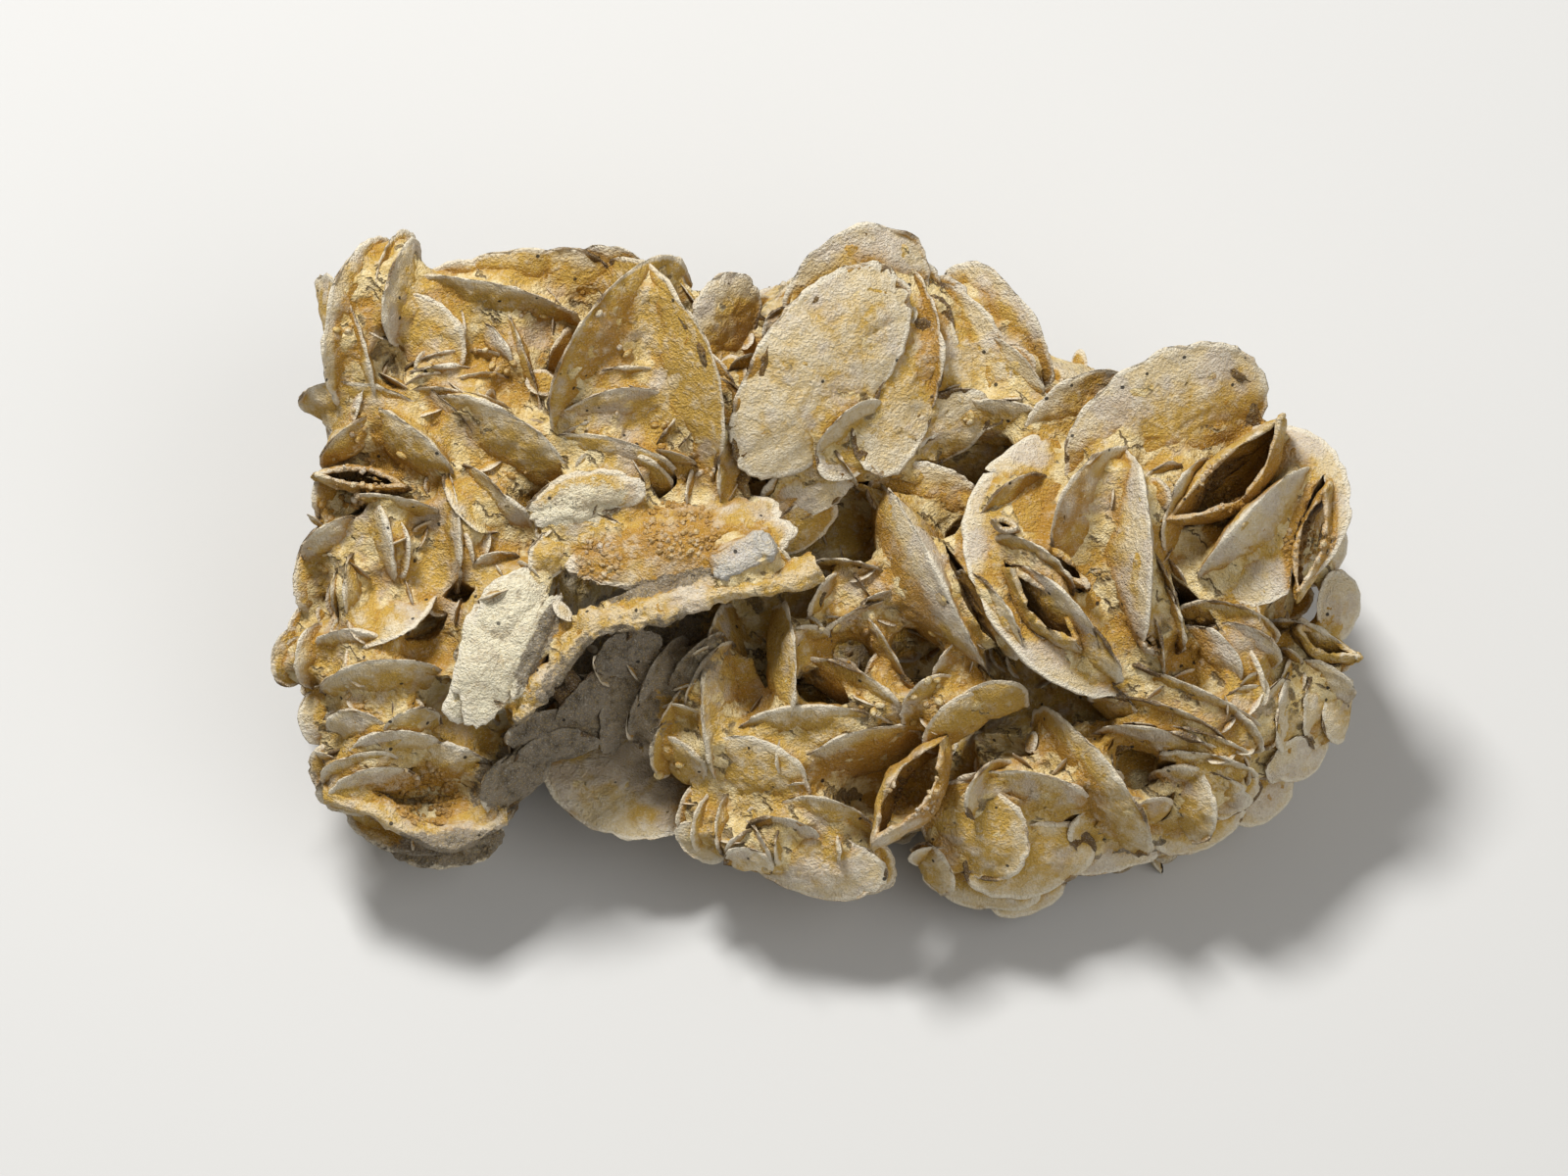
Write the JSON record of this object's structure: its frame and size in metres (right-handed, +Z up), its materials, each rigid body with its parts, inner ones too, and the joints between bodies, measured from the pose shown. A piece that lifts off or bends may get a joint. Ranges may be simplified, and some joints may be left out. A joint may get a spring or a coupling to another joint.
{
  "type": "mineral specimen",
  "caption": "Cluster of intergrown lens-shaped calcite blades after gypsum, with hollow casts and a flat broken foot.",
  "frame": {"origin": "middle of the flat fracture on which the cluster rests", "axes": "+X along the cluster, +Y away from its best side, +Z up"},
  "size_m": [0.1094, 0.0683, 0.05],
  "materials": {
    "calcite": "honey-tan calcite, sugary and dull, with paler crystal rims and brown druse in the hollows"
  },
  "bodies": {
    "root": {"crystal_cluster": "calcite"}
  },
  "joints": []
}
